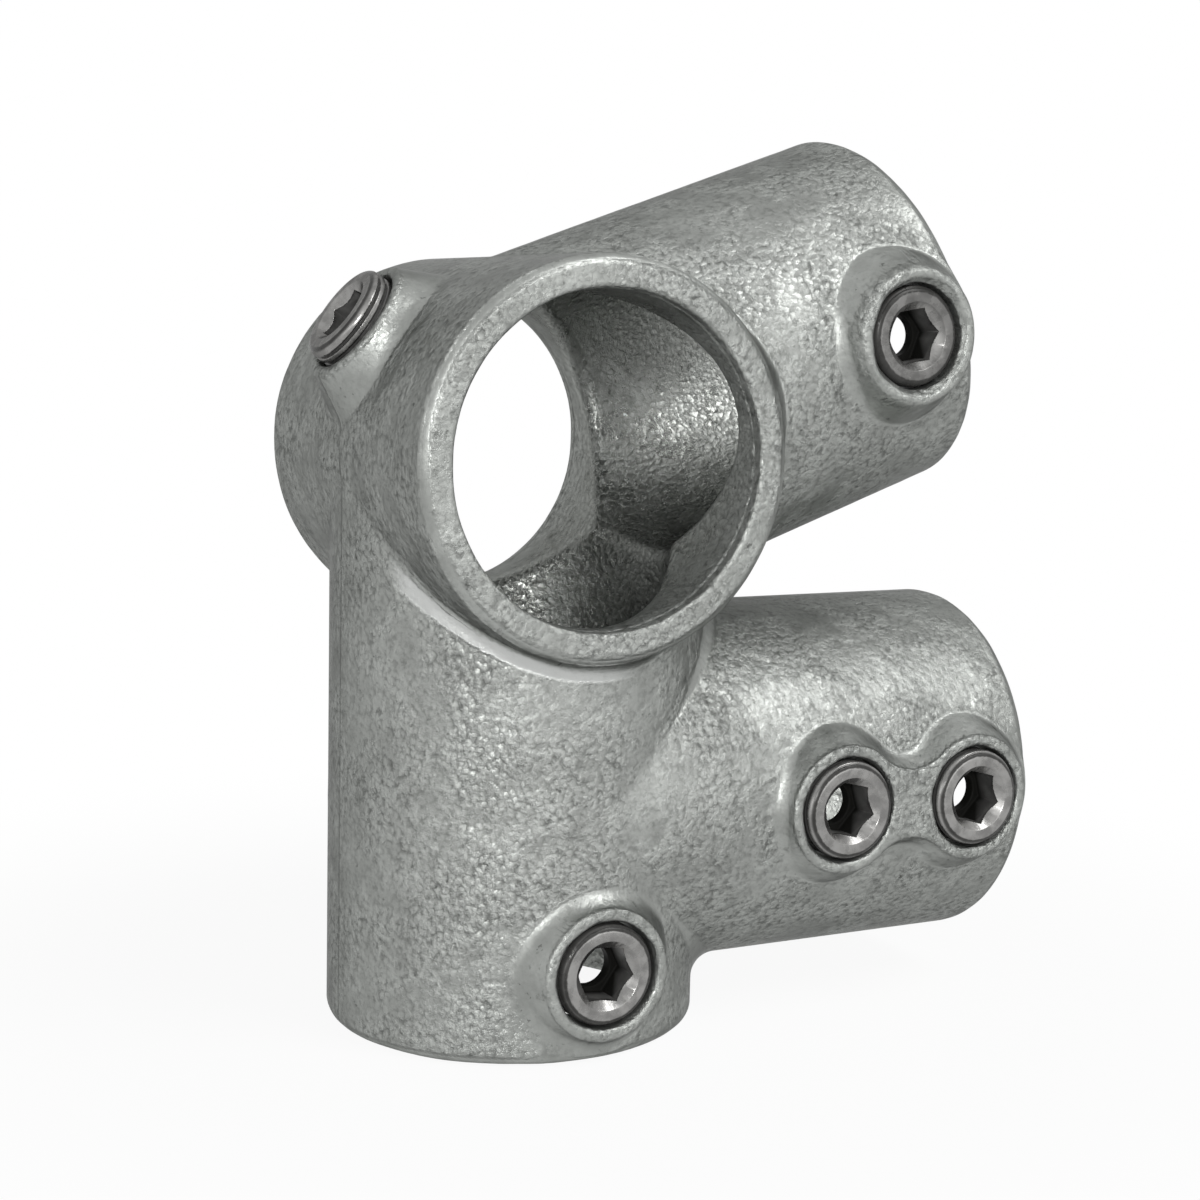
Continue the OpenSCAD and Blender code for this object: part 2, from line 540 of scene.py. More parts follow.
@dataclass(frozen=True)
class Boss:
    """A drafted round boss that carries a set screw, or two of them joined by a waist.

    Attributes:
        foot: Point on the socket's axis that the boss stands over, or the middle of a pair.
        out: Unit vector from the axis out through the face.
        along: Unit vector square to it, on which a pair lies.
        face: Height of the face above the socket's axis.
        half_gap: Half the distance between the bosses of a pair, or 0 for one boss.
        rim_flare: Width of the worn chamfer round the hole.
        rim_drop: Depth of that chamfer.
        phase: Turn of the rim's unevenness.
        radius: Radius of the face.
        base_radius: Radius at the end of the taper.
        taper_depth: Height of the taper.
        sunk: Height of the whole boss.
        waist_half: Half the width of the waist between a pair.
        rim_round: Radius of the face's rounded edge.
        hole_radius: Radius of the hole.
        hole_from: Start of the hole, as a share of the face's height.
        phase_step: Turn of the unevenness for each metre between a pair.
        rim_blend: Radius where the worn chamfer meets the hole.
    """

    foot: Vec
    out: Vec
    along: Vec
    face: float
    half_gap: float = 0.0
    rim_flare: float = 0.5 * MM
    rim_drop: float = 0.6 * MM
    phase: float = 0.0
    radius: float = 10.2 * MM
    base_radius: float = 14.6 * MM
    taper_depth: float = 8.4 * MM
    sunk: float = 9.0 * MM
    waist_half: float = 5.5 * MM
    rim_round: float = 1.0 * MM
    hole_radius: float = 8.4 * MM
    hole_from: float = 0.45
    phase_step: float = 700.0
    rim_blend: float = 0.3 * MM

    @property
    def side(self) -> Vec:
        """Unit vector square to the other two."""
        return tuple(np.cross(self.out, self.along))

    def _local(self, points: Array) -> tuple[Array, Array, Array]:
        """Places along the pair, across it and above the socket's axis."""
        offset = points - np.asarray(self.foot, points.dtype)
        return across(offset, self.along), across(offset, self.side), across(offset, self.out)

    def _outline(self, u: Array, v: Array) -> tuple[Array, Array, Array]:
        """Signed distance from the outline of the face, and the way out of it.

        Args:
            u: Places along the pair.
            v: Places across it.

        Returns:
            The distance, and both parts of the unit vector that leads away.
        """
        du, dv = np.abs(u) - self.half_gap, np.abs(v)
        reach = np.hypot(du, dv)
        distance = reach - self.radius
        out_u, out_v = du / np.maximum(reach, TINY), dv / np.maximum(reach, TINY)
        if self.half_gap > 0.0:
            cut = (self.half_gap**2 + self.waist_half**2 - self.radius**2) / (
                2.0 * (self.radius - self.waist_half)
            )
            cut_at = self.waist_half + cut
            inner = np.abs(u) * cut_at + dv * self.half_gap < self.half_gap * cut_at
            to_u, to_v = -np.abs(u), cut_at - np.abs(v)
            far = np.maximum(np.hypot(to_u, to_v), TINY)
            distance = np.where(inner, cut - far, distance)
            out_u = np.where(inner, to_u / far, out_u)
            out_v = np.where(inner, to_v / far, out_v)
        return distance, out_u * np.sign(u), out_v * np.sign(v)

    def solid(self, points: Array) -> Field:
        """Builds the boss without its hole.

        Args:
            points: Where to measure.

        Returns:
            The tapered boss.
        """
        u, v, height = self._local(points)
        flat, out_u, out_v = self._outline(u, v)
        slope = (self.base_radius - self.radius) / self.taper_depth
        lean = 1.0 / math.hypot(1.0, slope)
        depth = self.face - height
        tapered = depth < self.taper_depth
        reach = flat - slope * np.clip(depth, 0.0, self.taper_depth)
        across_part = np.where(tapered, lean, 1.0)
        up_part = np.where(tapered, slope * lean, 0.0)
        basis = [np.asarray(way, points.dtype) for way in (self.along, self.side, self.out)]
        normal = (
            (across_part * out_u)[:, None] * basis[0]
            + (across_part * out_v)[:, None] * basis[1]
            + up_part[:, None] * basis[2]
        )
        body = Field(reach * across_part, normal)
        foot_height = float(np.dot(self.foot, self.out))
        top = half_space(points, self.out, foot_height + self.face)
        bottom = -half_space(points, self.out, foot_height + self.face - self.sunk)
        return body.within(top, self.rim_round).within(bottom)

    def _one_hole(self, points: Array, shift: float) -> Field:
        """One clear hole, from inside the bore to past the face, with its worn rim.

        Args:
            points: Where to measure.
            shift: Place of the hole along the pair.

        Returns:
            The space of the hole.
        """
        centre = np.asarray(self.foot) + shift * np.asarray(self.along)
        start = centre + self.hole_from * self.face * np.asarray(self.out)
        hole = round_bar(points, tuple(start), self.out, self.hole_radius)
        height, reach, away = radial(points, tuple(centre), self.out)
        angle = np.arctan2(across(away, self.side), across(away, self.along))
        turn = angle + self.phase + self.phase_step * shift
        uneven = sum(size * np.sin(lobes * turn + start) for size, lobes, start in RIM_WAVES)
        flare = self.rim_flare * (1.0 + 0.5 * uneven)
        slope = self.rim_flare / self.rim_drop
        lean = 1.0 / math.hypot(1.0, slope)
        radius = self.hole_radius + flare + slope * (height - self.face)
        cone = Field(
            (reach - radius) * lean,
            lean * away - slope * lean * np.asarray(self.out, points.dtype),
        )
        floor_at = float(np.dot(centre, self.out)) + self.face - 2.0 * self.rim_drop
        shallow = -half_space(points, self.out, floor_at)
        return hole.joined(cone.within(shallow), self.rim_blend)

    def holes(self, points: Array) -> Field:
        """Gathers the holes through the boss.

        Args:
            points: Where to measure.

        Returns:
            Their space.
        """
        if self.half_gap == 0.0:
            return self._one_hole(points, 0.0)
        return self._one_hole(points, -self.half_gap).joined(self._one_hole(points, self.half_gap))


@dataclass(frozen=True)
class Socket:
    """One round limb of the casting, which takes a tube.

    Attributes:
        start: Where the limb's axis starts, inside the limb that it grows from.
        axis: Unit vector from there to the mouth.
        length: Distance from the start to the mouth.
        outer: Outer radius.
        bore: Bore radius.
        boss: The boss on the limb.
        through: The limb runs as far the other way, with a mouth at each end.
        mouth_round: Radius of the mouth's outer edge.
        lead_in: How much wider the bore is at the mouth.
        lead_length: Length of that stretch.
        lead_step: Length over which the bore widens.
        boss_flare: Radius of the fillet at the foot of the boss.
    """

    start: Vec
    axis: Vec
    length: float
    outer: float
    bore: float
    boss: Boss
    through: bool = False
    mouth_round: float = 2.4 * MM
    lead_in: float = 0.2 * MM
    lead_length: float = 2.4 * MM
    lead_step: float = 0.5 * MM
    boss_flare: float = 3.4 * MM

    def bar(self, points: Array, radius: float) -> Field:
        """Lays a round bar along the limb, with no end at its mouths.

        Args:
            points: Where to measure.
            radius: Radius of the bar.

        Returns:
            The bar.
        """
        if not self.through:
            return round_bar(points, self.start, self.axis, radius)
        _, distance, away = radial(points, self.start, self.axis)
        return Field(distance - radius, away)

    def _reach(self, points: Array) -> tuple[Array, Array]:
        """Measures along the limb, towards the nearer mouth.

        Args:
            points: Where to measure.

        Returns:
            How far along each point lies, and the unit vector that way.
        """
        along = across(points - np.asarray(self.start, points.dtype), self.axis)
        way = np.ones_like(along) if not self.through else np.where(along < 0.0, -1.0, 1.0)
        return along * way, way[:, None] * np.asarray(self.axis, points.dtype)

    def solid(self, points: Array) -> Field:
        """Builds the limb and its boss, cut off and rounded at the mouth.

        Args:
            points: Where to measure.

        Returns:
            The limb, still without its bore.
        """
        along, way = self._reach(points)
        mouth = Field(along - self.length, way)
        limb = self.bar(points, self.outer)
        limb = limb.joined(self.boss.solid(points), self.boss_flare)
        return limb.within(mouth, self.mouth_round)

    def space(self, points: Array) -> Field:
        """Builds the bore, wider over the stretch at its mouth.

        Args:
            points: Where to measure.

        Returns:
            The space of the bore.
        """
        along, way = self._reach(points)
        begins = self.length - self.lead_length
        ends = begins + self.lead_step
        wider = self.lead_in * smooth_step(along, begins, ends)
        bore = self.bar(points, self.bore)
        steepest = MIDWAY_SLOPE * self.lead_in / self.lead_step
        slope = np.where((along > begins) & (along < ends), steepest, 0.0)
        lean = 1.0 / np.hypot(1.0, slope)
        return Field(
            (bore.distance - wider) * lean,
            (bore.normal - slope[:, None] * way) * lean[:, None],
        )

    def depth(self, points: Array) -> Array:
        """How far each point lies inside the mouth."""
        return self.length - self._reach(points)[0]


@dataclass
class Casting:
    """The galvanised casting: four sockets run together, with a boss or two on each.

    Attributes:
        pitch: Slope of the rafter.
        drop: Depth of the tie's axis below the sleeve's.
        screw_at: Place of the screws along the tie and the rafter.
        outer: Outer radius of the blind sockets.
        bore: Their bore radius.
        crease: Radius of the fillet between the upright and the tie.
        corner: Radius of the fillets round the sleeve and the rafter.
        bore_round: Radius where two bores meet.
        mouth_edge: Radius of the mouths' inner edges.
        hole_edge: Radius of the holes' inner edges.
        swell: Height of the skin's wide waves.
        ripple: Height of its narrow waves.
        bore_wall: Heights over the bores' skin between which a place counts as inside.
        outside: Distances from the bores between which a place counts as outside.
        boss_top: Heights from a boss's face between which its flat top starts.
        edge_rise: Depths below the skin between which a rounded mouth counts as smooth.
        fillet_rise: Heights over a limb between which a fillet counts as smooth.
        triangles: How many triangles it is drawn with.
        piece: Its object.
    """

    pitch: float = math.radians(20.0)
    drop: float = 56.0 * MM
    screw_at: float = 56.5 * MM
    outer: float = 30.0 * MM
    bore: float = 24.75 * MM
    crease: float = 5.0 * MM
    corner: float = 3.0 * MM
    bore_round: float = 3.0 * MM
    mouth_edge: float = 0.7 * MM
    hole_edge: float = 0.4 * MM
    swell: float = 0.06 * MM
    ripple: float = 0.03 * MM
    bore_wall: Pair = (-1.2 * MM, -0.4 * MM)
    outside: Pair = (0.9 * MM, 1.6 * MM)
    boss_top: Pair = (-0.7 * MM, -0.3 * MM)
    edge_rise: Pair = (0.05 * MM, 0.25 * MM)
    fillet_rise: Pair = (0.08 * MM, 0.35 * MM)
    triangles: int = 190_000
    piece: Piece = Piece("casting_skin", "casting", "casting", "galvanised_iron")

    def __post_init__(self) -> None:
        """Sets the four sockets out from the sizes."""
        slope: Vec = (math.cos(self.pitch), 0.0, math.sin(self.pitch))
        sleeve_out: Vec = (math.cos(SLEEVE_LEAN), 0.0, math.sin(SLEEVE_LEAN))
        self.sleeve = Socket(
            ORIGIN,
            Y_AXIS,
            length=32.5 * MM,
            outer=30.5 * MM,
            bore=25.3 * MM,
            boss=Boss(
                (0.0, 0.5 * MM, 0.0),
                sleeve_out,
                Y_AXIS,
                face=34.4 * MM,
                phase=0.4,
            ),
            through=True,
            mouth_round=1.9 * MM,
        )
        self.upright = Socket(
            ORIGIN,
            DOWN,
            length=92.5 * MM,
            outer=self.outer,
            bore=self.bore,
            boss=Boss(
                (1.0 * MM, 0.0, -78.0 * MM),
                FRONT,
                X_AXIS,
                face=33.0 * MM,
                phase=1.1,
            ),
            boss_flare=4.3 * MM,
        )
        self.tie = Socket(
            (0.0, 0.0, -self.drop),
            X_AXIS,
            length=82.5 * MM,
            outer=self.outer,
            bore=self.bore,
            boss=Boss(
                (self.screw_at, 0.0, -self.drop),
                FRONT,
                X_AXIS,
                face=33.0 * MM,
                half_gap=12.5 * MM,
                phase=2.3,
                sunk=8.5 * MM,
            ),
        )
        self.rafter = Socket(
            ORIGIN,
            slope,
            length=69.5 * MM,
            outer=self.outer,
            bore=self.bore,
            boss=Boss(
                (self.screw_at * slope[0], 0.0, self.screw_at * slope[2]),
                FRONT,
                slope,
                face=34.2 * MM,
                rim_flare=0.9 * MM,
                rim_drop=1.1 * MM,
                phase=3.0,
                radius=10.5 * MM,
                base_radius=14.8 * MM,
                sunk=9.5 * MM,
            ),
        )
        self.sockets = (self.upright, self.tie, self.sleeve, self.rafter)

    def space(self, points: Array) -> Field:
        """Runs the four bores together.

        Args:
            points: Where to measure.

        Returns:
            Their space, with its inner edges rounded.
        """
        upright, tie, sleeve, rafter = (socket.space(points) for socket in self.sockets)
        run = upright.joined(tie, self.bore_round)
        return run.joined(sleeve, self.bore_round).joined(rafter, self.bore_round)

    def holes(self, points: Array) -> Field:
        """Gathers the holes for the set screws.

        Args:
            points: Where to measure.

        Returns:
            The space of all of them.
        """
        first, *others = (socket.boss.holes(points) for socket in self.sockets)
        for other in others:
            first = first.joined(other)
        return first

    def shape(self, points: Array) -> Field:
        """Builds the whole casting.

        Args:
            points: Where to measure.

        Returns:
            The casting.
        """
        upright, tie, sleeve, rafter = (socket.solid(points) for socket in self.sockets)
        solid = upright.joined(tie, self.crease)
        solid = solid.joined(sleeve, self.corner).joined(rafter, self.corner)
        empty = self.space(points).joined(self.holes(points), self.hole_edge)
        return solid.less(empty, self.mouth_edge)

    def _depth(self, points: Array) -> Array:
        """Finds how deep inside the bores the skin lies.

        Args:
            points: Places on the skin.

        Returns:
            The depth at each, and 0 outside the bores.
        """
        deepest = np.full(len(points), np.inf)
        for socket in self.sockets:
            deepest = np.minimum(deepest, np.abs(socket.depth(points)))
        within = smooth_step(-self.space(points).distance, *self.bore_wall)
        return within * np.maximum(deepest, 0.0)

    def _smoothness(self, points: Array) -> Array:
        """Finds the fillets, flanks and edges, which came out smooth.

        Args:
            points: Places on the skin.

        Returns:
            1 on them and 0 on the pebbled skin, one a point.
        """
        over = np.full(len(points), np.inf)
        plateau = np.zeros(len(points))
        mouths = np.zeros(len(points))
        for socket in self.sockets:
            off_limb = socket.bar(points, socket.outer).distance
            over = np.minimum(over, off_limb)
            boss = socket.boss
            height = across(points - np.asarray(boss.foot), boss.out) - boss.face
            plateau = np.maximum(plateau, smooth_step(height, *self.boss_top))
            inward = np.minimum(-off_limb, socket.depth(points))
            edge = smooth_step(inward, *self.edge_rise) * (inward < socket.mouth_round)
            mouths = np.maximum(mouths, edge)
        fillets = smooth_step(over, *self.fillet_rise) * (1.0 - plateau)
        outside = smooth_step(self.space(points).distance, *self.outside)
        return np.maximum(fillets, mouths * outside)

    def build(self, skinner: Skinner, finish: "GalvanisedIron") -> bpy.types.Object:
        """Builds, roughens and dresses the casting.

        Args:
            skinner: Draws the net.
            finish: Its finish.

        Returns:
            The casting's object.
        """
        low, high = CAD_BOX
        skin = skinner.skin(self.shape, tuple(low), tuple(high))
        mesh = thinned(mesh_of("casting_skin", skin), self.triangles)
        points = skinner.settled(self.shape, points_of(mesh))
        normal = self.shape(points).normal
        set_share(mesh, "depth", self._depth(points) / DEPTH_SCALE)
        set_share(mesh, "smoothness", self._smoothness(points))
        waves = self.swell * WIDE_WAVES(points) + self.ripple * NARROW_WAVES(points)
        set_points(mesh, points + waves[:, None] * normal)
        set_normals(mesh, normal)
        return self.piece.place(mesh, finish.material())


@dataclass(frozen=True)
class ScrewShape:
    """A hollow set screw, with its face at height 0 and its tip below.

    Attributes:
        radius: Radius of the screw.
        length: Length from face to tip.
        pitch: Height of one turn of the thread.
        thread_depth: Depth of the thread's grooves.
        steepness: Slope of the grooves' flanks.
        crest: Width of the thread's crests.
        crest_past: How far the crests would stand past the radius, which trims them flat.
        face_round: Radius of the face's edge.
        tip_round: Radius of the tip's edge.
        flats: Half the key socket's width across flats.
        key_corner: Radius in the corners of the key socket.
        socket_depth: Depth of the key socket.
        sink_radius: Radius of the countersink at the face.
        sink_depth: Height over which it narrows to the flats.
        sink_cut: Depth of its cut, as a share of that height.
        tip_hole: Radius of the hole through the tip.
        inner_round: Radius where the key socket meets that hole.
        inner_edge: Radius of the edges round the countersink.
        socket_shade_from: Depths below the countersink's cone between which the key socket's
            painted shade starts.
        groove_from: Depths below the radius between which the painted shade starts in the thread.
        groove_reach: Distance from the axis past which the thread gets painted shade.
        triangles: How many triangles it is drawn with.
    """

    radius: float = 8.0 * MM
    length: float = 8.0 * MM
    pitch: float = 1.337 * MM
    thread_depth: float = 0.6 * MM
    steepness: float = 1.9
    crest: float = 0.75
    crest_past: float = 0.05 * MM
    face_round: float = 1.35 * MM
    tip_round: float = 0.7 * MM
    flats: float = 4.1 * MM
    key_corner: float = 0.25 * MM
    socket_depth: float = 6.0 * MM
    sink_radius: float = 5.45 * MM
    sink_depth: float = 1.35 * MM
    sink_cut: float = 1.6
    tip_hole: float = 3.3 * MM
    inner_round: float = 0.3 * MM
    inner_edge: float = 0.2 * MM
    socket_shade_from: Pair = (0.05 * MM, 0.3 * MM)
    groove_from: Pair = (0.25 * MM, 0.6 * MM)
    groove_reach: float = 7.0 * MM
    triangles: int = 36_000

    def _threaded(self, points: Array) -> Field:
        """Cuts the thread into a bar without ends.

        Args:
            points: Where to measure.

        Returns:
            The threaded bar.
        """
        height, reach, away = radial(points, ORIGIN, UP)
        angle = np.arctan2(points[:, 1], points[:, 0])
        phase = height / self.pitch - angle / (2.0 * math.pi)
        share = phase - np.floor(phase)
        from_groove = np.abs(share - 0.5) * 2.0
        ramp = np.clip(self.steepness * (1.0 - from_groove) - self.crest, 0.0, 1.0)
        soft = ramp * ramp * (3.0 - 2.0 * ramp)
        grade = 6.0 * ramp * (1.0 - ramp) * self.steepness * 2.0 / self.pitch
        slope = -self.thread_depth * np.where(share < 0.5, grade, -grade)
        lean = 1.0 / np.hypot(1.0, slope)
        radius = self.radius + self.crest_past - self.thread_depth * soft
        tilted = away - slope[:, None] * np.asarray(UP, points.dtype)
        return Field((reach - radius) * lean, tilted * lean[:, None])

    def _hexagon(self, points: Array) -> Field:
        """Sets up the key socket's six walls, without ends.

        Args:
            points: Where to measure.

        Returns:
            The space between the walls.
        """
        walls = None
        for number in range(3):
            turn = math.radians(60.0 * number)
            way = np.array([math.cos(turn), math.sin(turn), 0.0], points.dtype)
            place = points @ way
            side = np.where(place < 0.0, -1.0, 1.0)
            wall = Field(np.abs(place) - self.flats, side[:, None] * way)
            walls = wall if walls is None else walls.within(wall, self.key_corner)
        return walls

    def _countersink(self, points: Array) -> Field:
        """Cuts the cone that leads into the key socket, without ends.

        Args:
            points: Where to measure.

        Returns:
            The space of the cone.
        """
        height, reach, away = radial(points, ORIGIN, UP)
        slope = (self.sink_radius - self.flats) / self.sink_depth
        lean = 1.0 / math.hypot(1.0, slope)
        distance = (reach - self.sink_radius - slope * height) * lean
        return Field(distance, (away - slope * np.asarray(UP, points.dtype)) * lean)

    def shape(self, points: Array) -> Field:
        """Builds the whole screw.

        Args:
            points: Where to measure.

        Returns:
            The screw.
        """
        _, reach, away = radial(points, ORIGIN, UP)
        bar = Field(reach - self.radius, away)
        bar = bar.within(half_space(points, UP, 0.0), self.face_round)
        bar = bar.within(half_space(points, DOWN, self.length), self.tip_round)
        bar = bar.within(self._threaded(points))
        key_floor = half_space(points, DOWN, self.socket_depth)
        key = self._hexagon(points).within(key_floor, self.inner_round)
        sink_floor = half_space(points, DOWN, self.sink_cut * self.sink_depth)
        sink = self._countersink(points).within(sink_floor)
        through = Field(reach - self.tip_hole, away)
        space = key.joined(sink).joined(through, self.inner_round)
        return bar.less(space, self.inner_edge)

    def skin(self, skinner: Skinner) -> "Drawn":
        """Draws the screw once, for every screw.

        Args:
            skinner: Draws the net.

        Returns:
            The drawn screw.
        """
        wide = self.radius
        drawn = skinner.skin(self.shape, (-wide, -wide, -self.length), (wide, wide, 0.0))
        mesh = thinned(mesh_of("screw_skin", drawn), self.triangles)
        points = skinner.settled(self.shape, points_of(mesh))
        corners = np.zeros(len(mesh.polygons) * 3, np.int32)
        mesh.loops.foreach_get("vertex_index", corners)
        bpy.data.meshes.remove(mesh)
        reach = np.hypot(points[:, 0], points[:, 1])
        under = self._countersink(points).distance
        # Painted shade: marks the key socket and the thread's grooves to be darkened.
        sunk = smooth_step(under, *self.socket_shade_from) * (reach < KEY_REACH)
        groove = smooth_step(self.radius - reach, *self.groove_from) * (reach > self.groove_reach)
        faces = corners.reshape(-1, 3)
        return Drawn(points, self.shape(points).normal, faces, sunk, groove)


@dataclass(frozen=True)
class Drawn:
    """A screw's mesh in numbers.

    Attributes:
        points: One place a vertex.
        normals: One unit vector a vertex.
        faces: Three vertex numbers a face.
        sunk: 1 down in the key socket, where shade is painted, else 0, one a vertex.
        groove: 1 in the thread's grooves, where shade is painted, else 0, one a vertex.
    """

    points: Array
    normals: Array
    faces: Array
    sunk: Array
    groove: Array


@dataclass(frozen=True)
class SetScrew:
    """Where one set screw sits.

    Attributes:
        label: Start of its names.
        boss: The boss that it sits in.
        turn: Turn of the key socket from the boss's own direction, in degrees.
        proud: How far its face stands out of its boss.
        shift: Its place along a pair of bosses.
        buried_from: Depths below the boss's face between which its flank darkens with painted
            shade.
        flank_reach: Distance from its axis past which the flank starts.
        hole_shade: How much painted shade darkens its face where it lies 1 mm or more down in its
            hole.
    """

    label: str
    boss: Boss
    turn: float
    proud: float = 0.0
    shift: float = 0.0
    buried_from: Pair = (-0.1 * MM, 0.5 * MM)
    flank_reach: float = 6.9 * MM
    hole_shade: float = 0.5

    @property
    def centre(self) -> Vector:
        """Finds the centre of its face.

        Returns:
            The centre, in the frame of the CAD model.
        """
        boss = self.boss
        rise = (boss.face + self.proud) * Vector(boss.out)
        return Vector(boss.foot) + self.shift * Vector(boss.along) + rise

    def build(self, drawn: Drawn, steel: bpy.types.Material) -> bpy.types.Object:
        """Sets a copy of the screw in its place.

        Args:
            drawn: The screw's mesh in numbers.
            steel: Its finish, which all the screws share.

        Returns:
            The screw's object.
        """
        out, along = Vector(self.boss.out), Vector(self.boss.along)
        spin = Matrix.Rotation(math.radians(self.turn), 3, "Z")
        matrix = np.array(Matrix((along, out.cross(along), out)).transposed() @ spin)
        placed = drawn.points @ matrix.T + np.array(self.centre)
        body = f"{self.label}_screw"
        mesh = mesh_of(body, Skin(placed, drawn.faces))
        below = -drawn.points[:, 2] - self.proud
        reach = np.hypot(drawn.points[:, 0], drawn.points[:, 1])
        # Painted shade: the flank down in the hole, and the face of a screw sunk in its hole, are
        # darkened with the thread's grooves.
        buried = smooth_step(below, *self.buried_from) * (reach > self.flank_reach)
        dull = self.hole_shade * min(max(-self.proud / MM, 0.0), 1.0) * (reach > KEY_REACH)
        set_share(mesh, "sunk", drawn.sunk)
        set_share(mesh, "groove", np.maximum(drawn.groove, np.maximum(buried, dull)))
        set_normals(mesh, drawn.normals @ matrix.T)
        node = f"{self.label}_set_screw"
        return Piece(f"{body}_turned", body, node, "set_screw_steel").place(mesh, steel)


Feed = Union["Value", float, Sequence[float]]


class Value:
    """One output of a finish's nodes. Sums written with it add Math nodes."""

    def __init__(self, recipe: "Recipe", socket: bpy.types.NodeSocket) -> None:
        """Keeps the socket and the finish that it belongs to."""
        self.recipe = recipe
        self.socket = socket

    def __add__(self, other: Feed) -> "Value":
        """This and another."""
        return self.recipe.maths("ADD", self, other)

    def __radd__(self, other: Feed) -> "Value":
        """Another and this."""
        return self.recipe.maths("ADD", other, self)

    def __sub__(self, other: Feed) -> "Value":
        """This less another."""
        return self.recipe.maths("SUBTRACT", self, other)

    def __rsub__(self, other: Feed) -> "Value":
        """Another less this."""
        return self.recipe.maths("SUBTRACT", other, self)

    def __mul__(self, other: Feed) -> "Value":
        """This times another."""
        return self.recipe.maths("MULTIPLY", self, other)

    def __rmul__(self, other: Feed) -> "Value":
        """Another times this."""
        return self.recipe.maths("MULTIPLY", other, self)


class Recipe:
    """The nodes of one material or of the world."""

    def __init__(self, owner: Union[bpy.types.Material, bpy.types.World]) -> None:
        """Clears the owner's nodes.

        Args:
            owner: The material or world.
        """
        owner.use_nodes = True
        lit = isinstance(owner, bpy.types.World)
        self.closing = "ShaderNodeOutputWorld" if lit else "ShaderNodeOutputMaterial"
        self.tree = owner.node_tree
        self.tree.nodes.clear()

    def _feed(self, socket: bpy.types.NodeSocket, value: Feed) -> None:
        """Links a value to a socket, or sets the socket's own number or colour.

        Args:
            socket: The socket.
            value: What it gets.
        """
        if isinstance(value, Value):
            self.tree.links.new(value.socket, socket)
        elif isinstance(value, (int, float)):
            socket.default_value = value
        else:
            size = len(socket.default_value)
            numbers = tuple(value) + (1.0,) * (size - len(value))
            socket.default_value = numbers[:size]

    def node(
        self,
        kind: str,
        settings: Mapping[str, object] | None = None,
        values: Mapping[Union[int, str], Feed] | None = None,
        output: Union[int, str] = 0,
    ) -> Value:
        """Adds one node of any kind.

        Args:
            kind: Type of the node.
            settings: Its own settings, set first.
            values: Numbers, colours or links of its input sockets.
            output: Which of its outputs to return.

        Returns:
            That output.
        """
        made = self.tree.nodes.new(kind)
        for name, setting in (settings or {}).items():
            setattr(made, name, setting)
        for name, value in (values or {}).items():
            self._feed(made.inputs[name], value)
        return Value(self, made.outputs[output])

    def maths(self, operation: str, first: Feed, second: Feed = 0.0) -> Value:
        """Works one sum on numbers."""
        return self.node("ShaderNodeMath", {"operation": operation}, {0: first, 1: second})

    def vector(self, operation: str, first: Feed, second: Feed, output: str = "Vector") -> Value:
        """Works one sum on vectors."""
        settings = {"operation": operation}
        return self.node("ShaderNodeVectorMath", settings, {0: first, 1: second}, output)

    def spread(self, value: Feed, source: Pair, target: Pair = RISING) -> Value:
        """Maps a range of values smoothly onto another.

        Args:
            value: The value.
            source: Where its range starts and ends.
            target: What those two become.

        Returns:
            The new value.
        """
        numbers = dict(enumerate((value, *source, *target)))
        return self.node("ShaderNodeMapRange", {"interpolation_type": "SMOOTHSTEP"}, numbers)

    def blend(self, share: Feed, first: Feed, second: Feed) -> Value:
        """Mixes two colours.

        Args:
            share: How much of the second.
            first: A colour.
            second: A colour.

        Returns:
            The mixed colour.
        """
        return self.node(
            "ShaderNodeMix", {"data_type": "RGBA"}, {0: share, 6: first, 7: second}, output=2
        )

    def noise(self, place: Feed, size: float, detail: float, roughness: float) -> Value:
        """Adds noise with lumps of about one size.

        Args:
            place: Where to read it.
            size: Size of a lump in metres.
            detail: Octaves.
            roughness: Strength of the finer octaves.

        Returns:
            The noise, around 0.5.
        """
        return self.node(
            "ShaderNodeTexNoise",
            {"noise_dimensions": "3D"},
            {"Vector": place, "Scale": 1.0 / size, "Detail": detail, "Roughness": roughness},
        )

    def cells(self, place: Feed, size: float) -> Value:
        """Distance from the nearest of many scattered points, as a share of their spacing."""
        values = {"Vector": place, "Scale": 1.0 / size}
        return self.node("ShaderNodeTexVoronoi", {"feature": "F1"}, values)

    def shifted(self, place: Feed, share: Feed, reach: float) -> Value:
        """Moves a place aside.

        Args:
            place: The place.
            share: How much of the reach to move by.
            reach: How far to move along each axis, in metres.

        Returns:
            The new place.
        """
        values = {0: (reach, -reach, reach), "Scale": share}
        step = self.node("ShaderNodeVectorMath", {"operation": "SCALE"}, values)
        return self.vector("ADD", place, step)

    def place(self) -> Value:
        """Places on the object, in metres."""
        return self.node("ShaderNodeTexCoord", output="Object")

    def along(self, place: Feed, way: Vec) -> Value:
        """How far a place lies along a direction."""
        return self.vector("DOT_PRODUCT", place, way, "Value")

    def off_axis(self, place: Feed) -> Value:
        """How far a place lies from the sleeve's axis."""
        flat = self.vector("MULTIPLY", place, (1.0, 0.0, 1.0))
        return self.vector("LENGTH", flat, ORIGIN, "Value")

    def off_plane(self, place: Feed) -> Value:
        """Distance of a place from the plane that holds the limbs' axes."""
        return self.maths("ABSOLUTE", self.along(place, Y_AXIS))

    def stored(self, name: str) -> Value:
        """The number stored under a name at each vertex."""
        return self.node("ShaderNodeAttribute", {"attribute_name": name}, output="Fac")

    def bump(self, height: Feed, depth: float, strength: float = 1.0) -> Value:
        """Tilts the surface by a height, where 1 is so many metres deep."""
        values = {"Height": height, "Distance": depth, "Strength": strength}
        return self.node("ShaderNodeBump", None, values)

    def surface(self, shader: Value) -> None:
        """Makes a shader the owner's surface."""
        end = self.tree.nodes.new(self.closing)
        self.tree.links.new(shader.socket, end.inputs["Surface"])


